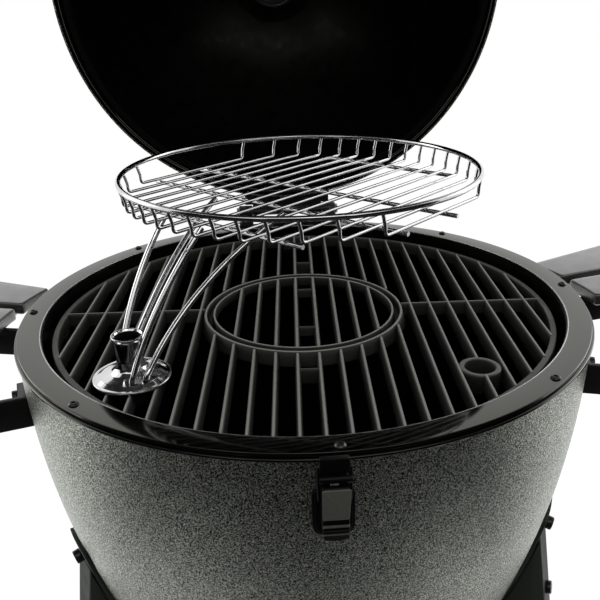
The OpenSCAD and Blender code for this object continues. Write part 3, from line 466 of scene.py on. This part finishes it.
def wire(name, paths, radius, *stands_for, closed=False, sides=3):
    """Round chrome wires along paths, in one curve object."""
    data = bpy.data.curves.new(name, "CURVE")
    data.dimensions = "3D"
    data.bevel_depth = radius * MM
    data.bevel_resolution = sides
    data.use_fill_caps = True
    for path in paths:
        line = data.splines.new("POLY")
        line.points.add(len(path) - 1)
        line.use_cyclic_u = closed
        for point, p in zip(line.points, path):
            point.co = (*(RIM @ Vector(p)), 1)
    data.materials.append(CHROME)
    obj = bpy.data.objects.new(name, data)
    scene.collection.objects.link(obj)
    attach(obj, body_of[stands_for[0]])
    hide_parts(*stands_for)


# Bowl: shell, rolled lip, liner, rim ring with its worn inner edge, and screws

SIDE_TOP, SIDE_END, SIDE_STEPS = -5, -339, 40
BEVEL_Z, BEVEL_SOFT = BOWL_BASE + BOWL_BEVEL, 40
LINER_EDGE_R = 262
LIP = [(262.1, -3), (274, -3), (274, -3.6), (277.4, -3.6), (277.4, -6), (274.6, -6.6), (262.1, -6.6)]
LIP_RADII = [0, 0.2, 0.2, 1.2, 0.8, 0.3, 0]
RIM_SECTION = [(RIM_IN_R, -RIM_T), (RIM_IN_R, 0), (RIM_R, 0), (RIM_R, -RIM_T)]
SCREW_HEAD = soft([(0, 0), (4.2, 0), (4.2, 0.7), (2.8, 2), (1.8, 2), (1.6, 0.8), (0, 0.8)],
                  [0, 0.2, 0.6, 0.7, 0.2, 0.2, 0], 3)


def bowl_radius(z):
    return RIM_R - BOWL_CURVE_R + math.sqrt(BOWL_CURVE_R ** 2 - z * z)


def bowl_wall(inset, top):
    """Side, bevel and base of the bowl, inset from its outer face."""
    heights = [top + (SIDE_END - top) * i / SIDE_STEPS for i in range(SIDE_STEPS + 1)]
    corner = bowl_radius(BEVEL_Z) - BOWL_BEVEL - inset * math.tan(math.radians(22.5))
    turn = [(bowl_radius(SIDE_END - 1) - inset, SIDE_END - 1),
            (bowl_radius(BEVEL_Z) - inset, BEVEL_Z + inset * 0.2),
            (corner, BOWL_BASE + inset), (ASH_HOLE_R, BOWL_BASE + inset)]
    turn = soft(turn, [0, BEVEL_SOFT, BEVEL_SOFT, 0], 6, closed=False)
    return [(bowl_radius(z) - inset, z) for z in heights] + [tuple(p) for p in turn[1:]]


turned("bowl_shell_smooth", bowl_wall(0, SIDE_TOP) + bowl_wall(SHEET, SIDE_TOP)[::-1], RIM_STEPS,
       RIM, HAMMER, "bowl_shell")
turned("bowl_lip_rolled", soft(LIP, LIP_RADII, 5), RIM_STEPS, RIM, ENAMEL, "bowl_shell",
       slot="black_enamel", sharp=60)
liner = [(LINER_EDGE_R, -RIM_T), (LINER_EDGE_R, SIDE_TOP)] + bowl_wall(LINER_INSET, SIDE_TOP)
liner += bowl_wall(LINER_INSET + SHEET, -RIM_T)[::-1]
turned("bowl_liner_smooth", liner, LID_STEPS, RIM, LINER, "bowl_liner")
turned("rim_ring_smooth", soft(RIM_SECTION, [0.4, 2.2, 0.9, 0.5], 5), RIM_STEPS, RIM, ENAMEL, "rim_ring",
       sharp=60)
turned("rim_edge_worn", circle((254.5, -0.7), 0.75, 12), RIM_STEPS, RIM, STEEL, "rim_ring", slot="steel")

bm = bmesh.new()
for turn in (-88.7, -46.2, 0, 45, 90, 135, 180, 225):
    lathe(bm, SCREW_HEAD, SCREW_STEPS, at=polar(RIM_SCREWS_AT, turn))
piece("rim_screws_round", bm, RIM, SCREW, "rim_screws", sharp=50)

# Cooking grid: rounded cast bars, rings, rungs and sockets, and the lift-out centre

BAR_PITCH, BAR_SHIFT, CROSS_Y = 19.5, 2.5, 6
BARS_END_R, HUB_R, SOCKET_GAP_R = 241, 101.5, 15.5
BAR_Z, CROSS_Z, RUNG_Z, INSERT_Z = -11.25, -11.4, -12, -11
RUNG_HALF, RUNGS_OUT, RUNGS_IN = 9.5, 136, 49
CROSS_IN, CROSS_OUT = 100.5, 242
INSERT_BARS_R, INSERT_FOOT, INSERT_RUNG_FOOT = 90, -10, -9
ALONG_X, ALONG_Y = (0, -1, 0), (1, 0, 0)
BAR = [tuple(p) for p in soft([(-2.9, -13.7), (-1.6, -1.4), (-0.8, 0), (0.8, 0), (1.6, -1.4), (2.9, -13.7)],
                              [0.5, 0.9, 0.5, 0.5, 0.9, 0.5], 3)]
RUNG = [(x * 0.8, y) for x, y in BAR]
OUTER_RING = soft([(239, -25), (239.8, -11.7), (245.4, -11.7), (246, -25)], [0.6, 1, 1, 1], 4)
HUB_RING = soft([(92.5, -25), (92.5, -21), (97.5, -21), (97.6, -11), (99.6, -11), (103.5, -25)],
                [0.5, 0.4, 0.3, 0.5, 0.7, 0.8], 3)
SOCKET = soft([(13, -29), (13, -11.6), (18, -11.6), (18, -29)], [0.8, 1.2, 1.6, 1], 4)
INSERT_RING = soft([(88.6, -21), (89.2, -11), (91, -11), (91.4, -21)], [0.6, 0.6, 0.7, 0.6], 3)


def bar_x(i):
    return BAR_SHIFT + (i + 0.5) * BAR_PITCH


def runs(x):
    """Stretches of a front-to-back bar, broken at the centre and at the sockets."""
    half = math.sqrt(BARS_END_R ** 2 - x * x)
    parts = [(-half, half)]
    for hx, hy, r in [(0, 0, HUB_R)] + [(sx, sy, SOCKET_GAP_R) for sx, sy in SOCKETS]:
        if abs(x - hx) < r:
            d = math.sqrt(r * r - (x - hx) ** 2)
            cut = []
            for a, b in parts:
                if hy - d > a and hy + d < b:
                    cut += [(a, hy - d), (hy + d, b)]
                else:
                    cut.append((a, b))
            parts = cut
    return parts


def rungs(bm, section, away):
    """Two short rungs between the middle bars, before and behind the cross bar."""
    for y in (CROSS_Y - away, CROSS_Y + away):
        bar(bm, section, (BAR_SHIFT - RUNG_HALF, y, RUNG_Z), (BAR_SHIFT + RUNG_HALF, y, RUNG_Z), ALONG_X)


bm = bmesh.new()
for x in [bar_x(i) for i in range(-12, 12)]:
    for a, b in runs(x):
        bar(bm, BAR, (x, a, BAR_Z), (x, b, BAR_Z), ALONG_Y)
for a, b in ((-CROSS_OUT, -CROSS_IN), (CROSS_IN, CROSS_OUT)):
    bar(bm, RUNG, (a, CROSS_Y, CROSS_Z), (b, CROSS_Y, CROSS_Z), ALONG_X)
rungs(bm, RUNG, RUNGS_OUT)
lathe(bm, OUTER_RING, LID_STEPS)
lathe(bm, HUB_RING, RING_STEPS)
for at in SOCKETS:
    lathe(bm, SOCKET, SOCKET_STEPS, at=at)
piece("cooking_grid_cast", bm, GRID, IRON, "cooking_grid", "grid_bars", sharp=50)

bm = bmesh.new()
shallow = [(x, max(y, INSERT_FOOT)) for x, y in BAR]
for x in [bar_x(i) for i in range(-4, 4)]:
    half = math.sqrt(INSERT_BARS_R ** 2 - x * x)
    bar(bm, shallow, (x, -half, INSERT_Z), (x, half, INSERT_Z), ALONG_Y)
rungs(bm, [(x, max(y, INSERT_RUNG_FOOT)) for x, y in RUNG], RUNGS_IN)
lathe(bm, INSERT_RING, RING_STEPS)
piece("grid_insert_cast", bm, GRID, IRON, "grid_insert", sharp=50)

# Wire rack: rim, wires bent up to it, supports, rods and the turned post with its cup

WIRE_COUNT, WIRE_PITCH = 16, 20
RIM_WIRE_R, WIRE_R, SUPPORT_R, ROD_R = 2.5, 1.5, 2, 2.7
SUPPORT_SHORT = 6
SUPPORTS, SUPPORT_Z, ROD_END_Z = (-122, -48, 18, 143), 108.45, 103.4
# For each rod: its turn, distance and height at the post, the support it meets and where, and its bow
RODS = (
    (131, 14.1, 13, 0, 55, (-11, 0, 4)),
    (101, 14.1, 13, 1, 67, (-4, 6, 20)),
    (-80, 23, 8, 0, 5, (-16, -8, -4)),
    (-51, 23, 8.3, 1, -23, (-28, 20, 0)),
)
POST_SIDE = [(0, -26), (12.9, -26), (12.9, -0.2), (32, -0.2), (33.2, 0.8), (32.8, 2.4), (31.2, 2.6),
             (30, 2.6), (26, 4.6), (17, 7), (12.4, 11), (11, 18), (11.7, 36), (13.6, 38.6), (13.6, 39.6),
             (12.1, 39.6), (11, 38)]
POST_RADII = [0, 1, 0.3, 0.3, 0.8, 0.8, 0.6, 0.4, 5, 6, 5, 8, 3, 0.5, 0.5, 0.6, 0]
CUP_SIDE = [(11, 38), (9.6, 34), (8.8, 22), (8.8, 8), (0, 8)]


def rack_point(u, v, z):
    """A point of the rack, whose wires run at 45 degrees to the grill."""
    c = math.sqrt(0.5)
    return (u - v) * c, (u + v) * c, z


ring = [(x, y, RACK_RIM_Z) for x, y in circle((0, 0), RACK_R, 180)]
wire("rack_rim_wire", [ring], RIM_WIRE_R, "rack_rim", closed=True, sides=4)

paths = []
for i in range(WIRE_COUNT):
    v = (i - (WIRE_COUNT - 1) / 2) * WIRE_PITCH
    half = math.sqrt(RACK_R ** 2 - v * v)
    end = [(half, 130.2), (half - 3, 121), (half - 3.6, 112)]
    bent = soft([(-x, z) for x, z in end] + end[::-1], [0, 4, 4.5, 4.5, 4, 0], 5, closed=False)
    paths.append([rack_point(p[0], v, p[1]) for p in bent])
wire("rack_wires_bent", paths, WIRE_R, "rack_wires", "rack_uprights")

paths = []
for u in SUPPORTS:
    half = math.sqrt(RACK_R ** 2 - u * u) - SUPPORT_SHORT
    paths.append([rack_point(u, -half, SUPPORT_Z), rack_point(u, half, SUPPORT_Z)])
wire("rack_support_rods", paths, SUPPORT_R, "rack_supports", sides=4)

paths = []
for turn, off, up, support, v, bow in RODS:
    x, y = polar(off, turn)
    low = Vector((POST[0] + x, POST[1] + y, STAND_Z + up))
    high = Vector(rack_point(SUPPORTS[support], v, ROD_END_Z))
    paths.append([low + Vector((0, 0, -2))] + curve(low, (low + high) / 2 + Vector(bow), high, 24))
wire("rack_rod_curves", paths, ROD_R, "rack_rods", sides=5)

turned("rack_post_turned", soft(POST_SIDE, POST_RADII, 4, closed=False), POST_STEPS, STAND, CHROME,
       "rack_post", closed=False, at=POST, sharp=50)
turned("rack_cup_inside", CUP_SIDE, POST_STEPS, STAND, JET, "rack_post", closed=False, at=POST,
       slot="black_paint")

# Lid: shell, liner with its edge ring, bead and seal

DOME_STEPS, DOME_EASE = 48, 1.6


def dome(inset, low):
    """Half section of the dome from its band up to its flat top, inset from the outer face."""
    r, band = DOME_R - inset, RIM_R - inset
    start = DOME_Z + math.sqrt(max(r * r - band * band, 0))
    out = [(band, low)] if low < start else []
    first = max(low, start)
    for i in range(DOME_STEPS + 1):
        z = first + (LID_CROWN - inset - first) * (1 - (1 - i / DOME_STEPS) ** DOME_EASE)
        out.append((math.sqrt(max(r * r - (z - DOME_Z) ** 2, 0)), z))
    return out


def dome_sheet(inset, low):
    """Closed half section of one sheet of the dome, with the vent's hole at its top."""
    top = LID_CROWN - inset
    hole = [(VENT_HOLE_R, top), (VENT_HOLE_R, top - SHEET)]
    return dome(inset, low) + hole + dome(inset + SHEET, low)[::-1]


edge_ring = [(253, LID_EDGE_Z), (272.9, LID_EDGE_Z), (272.9, 8), (255, 8)]
seal = soft([(256, LID_EDGE_Z), (256, 0.6), (262.5, 0.6), (262.5, LID_EDGE_Z)], [0.3, 2, 2, 0.3], 4)
turned("lid_shell_smooth", dome_sheet(0, 4), LID_STEPS, LID, HAMMER, "lid_shell")
turned("lid_liner_smooth", edge_ring + dome_sheet(LINER_INSET, 9), LID_STEPS, LID, LINER, "lid_liner")
turned("lid_edge_bead", circle((267, LID_EDGE_Z), 2.3, 20), LID_STEPS, LID, ENAMEL, "lid_liner")
turned("lid_gasket_woven", seal, LID_STEPS, LID, SEAL, "lid_gasket")

# Side shelves: moulded slats with rounded ends

SLATS, SLAT_STEP, SLAT_HALF = 5, 11.1, 4.5
SLAT_LOW, SLAT_TOP = -44, -30


def slat(bm, turn):
    """One slat of the fan, with both ends on arcs about the bowl's axis."""
    sides = [i / 6 * 2 - 1 for i in range(7)]
    ends = [polar(SLAT_IN_R, turn + SLAT_HALF * t) for t in sides]
    ends += [polar(SLAT_OUT_R, turn - SLAT_HALF * t) for t in sides]
    corners = [9] + [0] * 5 + [9, 12] + [0] * 5 + [12]
    plate(bm, soft(ends, corners, 4), SLAT_LOW, SLAT_TOP, 3.2, 4)


for side, name in ((1, "right_slats"), (-1, "left_slats")):
    bm = bmesh.new()
    for i in range(SLATS):
        slat(bm, (i - SLATS // 2) * SLAT_STEP)
    piece(name + "_moulded", bm, RIM @ Matrix.Scale(side, 4, (1, 0, 0)), RESIN, name, sharp=60)

# Front latch: base with ears, lever with a painted face and a ridged grip, and the pull-up bail

# Plates are drawn in the FRONT place, and blocks and rods in the RIM place
GRIP_Y, BAIL_Y, ROLL_Y = -294.1, -287.06, -288.6
FACE = soft([(-9.2, -40.6), (9, -40.6), (10.5, -16.6), (-9.2, -16.6)], [1, 1, 1.8, 1.8], 4)

bm = bmesh.new()
plate(bm, tablet(15.1, -66.5, -29, [8, 8, 5, 5]), 271.5, 277.6, 1.1)
plate(bm, tablet(13.2, -64.6, -31, [6.5, 6.5, 3.5, 3.5]), 272.5, 278.2, 0.7)
piece("latch_base_plate", bm, FRONT, JET, "latch_base")
bm = bmesh.new()
block(bm, (-9.2, -278.4, -31.8), (9.2, -272.5, -14.2), 0.8)
for x in (-4.6, 4.6):
    block(bm, (x - 1.5, -288.2, -24.2), (x + 1.5, -277, -15.8), 1.4, 3)
piece("latch_ears", bm, RIM, JET, "latch_base")

bm = bmesh.new()
plate(bm, tablet(9.25, -59, -16, [6.5, 6.5, 1.5, 1.5]), 291.2, 294, 1.0)
piece("latch_lever_face", bm, FRONT, JET, "latch_lever")
bm = bmesh.new()
for x in (-7.85, 7.85):
    block(bm, (x - 1.4, -293, -52.5), (x + 1.4, -280.4, -16.2), 0.8)
block(bm, (-8.6, -293, -57), (8.6, -287, -45), 2, 3)
for z in (-50.4, -55.4):
    rod(bm, (-8.6, GRIP_Y, z), (8.6, GRIP_Y, z), 1.2)
piece("latch_lever_sides", bm, RIM, JET, "latch_lever")
bm = bmesh.new()
plate(bm, FACE, 293.6, 295.3, 0.7)
for low, high in ((-47.2, -45.3), (-53.6, -52.4)):
    plate(bm, tablet(9.3, low, high, 0.4), 293.4, 294.9, 0.4)
piece("latch_face_panel", bm, FRONT, LATCH, "latch_lever", slot="latch_paint")

bm = bmesh.new()
block(bm, (-10.1, -289.6, -7.4), (10.1, -284.6, 4), 0.9)
for side in (-1, 1):
    rod(bm, (side * 10.85, BAIL_Y, -29), (side * 10.85, BAIL_Y, -4), 1.15)
    rod(bm, (side * 6.6, BAIL_Y, -29), (side * 11.6, BAIL_Y, -29), 1.1)
rod(bm, (-10.6, ROLL_Y, -12.2), (11.8, ROLL_Y, -12.2), 2.7, 28)
piece("latch_bail_block", bm, RIM, JET, "latch_bail")

# Pieces whose CAD shape stays, each with the width of its rounded edges

EDGES = (
    ("leg_front_left", 3), ("leg_front_right", 3), ("leg_rear_left", 3), ("leg_rear_right", 3),
    ("left_shelf_frame", 1), ("right_shelf_frame", 1), ("hinge_base", 2), ("lid_hinge_plate", 0.8),
    ("latch_strike", 0.8), ("ash_housing", 1), ("vent_plate", 0.6), ("vent_knob", 1),
    ("ash_drawer", 0.6), ("damper_slide", 0.5), ("lower_tray", 0.8), ("vent_base", 0.8),
    ("vent_cap", 0.8), ("thermometer_case", 1), ("leg_bolts", 0.8), ("hinge_bolts", 0.8),
    ("tray_bolts", 0.8), ("shelf_bolts", 0.8), ("axle", 0.6), ("handle_posts", 0.5),
    ("grid_lugs", 1), ("leg_straps", 0.8), ("hinge_pins", 0.6), ("lid_handle", 1),
    ("wheel_left", 1.5), ("wheel_right", 1.5), ("front_feet", 1.5), ("ash_tube", 0.5),
)
for node, width in EDGES:
    refine(node, width)
refine("charcoal_grate", 1, COAL_IRON)

# Floor and background

FLOOR_SIZE, FLOOR_SHARE, FLOOR_WHITE = 14, 0.88, 1.1
WORLD_LEVEL, WORLD_WHITE = 0.3, 1.0


def matt(name, tone, rough):
    """A material of one plain grey."""
    mat = bpy.data.materials.new(name)
    mat.use_nodes = True
    bsdf = mat.node_tree.nodes["Principled BSDF"]
    bsdf.inputs["Base Color"].default_value = (tone, tone, tone, 1)
    bsdf.inputs["Roughness"].default_value = rough
    return mat


def background_rays(tree):
    """1 for rays that show the plain background: from the camera, off metal and through glass."""
    ray = tree.nodes.new("ShaderNodeLightPath")
    found = ray.outputs["Is Camera Ray"]
    for kind in ("Is Glossy Ray", "Is Transmission Ray"):
        either = tree.nodes.new("ShaderNodeMath")
        either.operation = "MAXIMUM"
        tree.links.new(found, either.inputs[0])
        tree.links.new(ray.outputs[kind], either.inputs[1])
        found = either.outputs[0]
    return found


bpy.ops.mesh.primitive_plane_add(size=FLOOR_SIZE)
floor = bpy.context.object
floor.name = "floor"
paper = matt("pale_floor", 0.86, 0.9)
tree = paper.node_tree
white = tree.nodes.new("ShaderNodeEmission")
white.inputs["Color"].default_value = (1, 1, 1, 1)
white.inputs["Strength"].default_value = FLOOR_WHITE
mix = tree.nodes.new("ShaderNodeMixShader")
part = tree.nodes.new("ShaderNodeMath")
part.operation = "MULTIPLY"
part.inputs[1].default_value = FLOOR_SHARE
tree.links.new(background_rays(tree), part.inputs[0])
tree.links.new(part.outputs[0], mix.inputs[0])
tree.links.new(tree.nodes["Principled BSDF"].outputs[0], mix.inputs[1])
tree.links.new(white.outputs[0], mix.inputs[2])
tree.links.new(mix.outputs[0], tree.nodes["Material Output"].inputs["Surface"])
floor.data.materials.append(paper)

world = bpy.data.worlds.new("studio")
scene.world = world
world.use_nodes = True
tree = world.node_tree
level = tree.nodes.new("ShaderNodeMapRange")
level.inputs["To Min"].default_value = WORLD_LEVEL
level.inputs["To Max"].default_value = WORLD_WHITE
tree.links.new(background_rays(tree), level.inputs["Value"])
tree.nodes["Background"].inputs["Color"].default_value = (1, 1, 1, 1)
tree.links.new(level.outputs[0], tree.nodes["Background"].inputs["Strength"])

# Dark cards, in metres

CARD = matt("dark_card", 0.01, 1)
CARD_LOW, CARD_X, CARD_NEAR, CARD_FAR = 0.01, 2, -4.2, -0.38


def flag(name, low, high):
    """Dark card of the studio, which only glossy rays see."""
    bm = bmesh.new()
    bmesh.ops.create_cube(bm, size=1, matrix=cube_place(low, high))
    mesh = bpy.data.meshes.new(name)
    bm.to_mesh(mesh)
    bm.free()
    mesh.materials.append(CARD)
    obj = bpy.data.objects.new(name, mesh)
    scene.collection.objects.link(obj)
    obj.visible_camera = obj.visible_diffuse = obj.visible_shadow = obj.visible_transmission = False


flag("floor_card", (-CARD_X, CARD_NEAR, CARD_LOW), (CARD_X, CARD_FAR, 0.02))
flag("front_card", (-CARD_X, -4.25, CARD_LOW), (CARD_X, CARD_NEAR, 4.2))
flag("ceiling_card", (-1.6, -1.1, 2.5), (1.6, 1.5, 2.52))
for side in (-1, 1):
    flag("side_card", (side * CARD_X - 0.02, CARD_NEAR, CARD_LOW), (side * CARD_X + 0.02, -0.3, 2.6))
    flag("side_floor_card", (side * 1.35 - 0.65, CARD_FAR, CARD_LOW), (side * 1.35 + 0.65, -0.05, 0.02))

# Lamps and camera, in metres

LAMP_AIM = Vector((0, 0, 0.8))
CAMERA_TURN, CAMERA_RISE, CAMERA_ROLL = math.radians(-3.5), math.radians(22.3), math.radians(-1.7)
CAMERA_AWAY = 0.757


def panel(name, place, size, power):
    """Soft rectangular studio light."""
    data = bpy.data.lights.new(name, "AREA")
    data.shape = "RECTANGLE"
    data.size, data.size_y = size
    data.energy = power
    obj = bpy.data.objects.new(name, data)
    obj.location = place
    obj.rotation_mode = "QUATERNION"
    obj.rotation_quaternion = (LAMP_AIM - Vector(place)).to_track_quat("-Z", "Y")
    scene.collection.objects.link(obj)


panel("top_light", place=(0.3, -0.4, 2.9), size=(2.2, 2.2), power=20)
panel("left_light", place=(-2.2, 1.1, 1.5), size=(1.2, 1.8), power=13)
panel("right_light", place=(2.2, 1.1, 1.5), size=(1.2, 1.8), power=13)

camera = bpy.data.objects.new("camera", bpy.data.cameras.new("camera"))
scene.collection.objects.link(camera)
scene.camera = camera
camera.data.sensor_width = 36
camera.data.lens = 44.88
camera.data.shift_x, camera.data.shift_y = -0.005, -0.0033
camera.data.clip_start, camera.data.clip_end = 0.02, 60
level_x, level_y = math.sin(CAMERA_TURN), -math.cos(CAMERA_TURN)
back = Vector((level_x * math.cos(CAMERA_RISE), level_y * math.cos(CAMERA_RISE), math.sin(CAMERA_RISE)))
camera.location = Vector((0, 0, RIM_HEIGHT_M)) + back * CAMERA_AWAY
camera.rotation_mode = "QUATERNION"
camera.rotation_quaternion = (-back).to_track_quat("-Z", "Y") @ Quaternion((0, 0, 1), CAMERA_ROLL)
scene.view_settings.view_transform = "Standard"
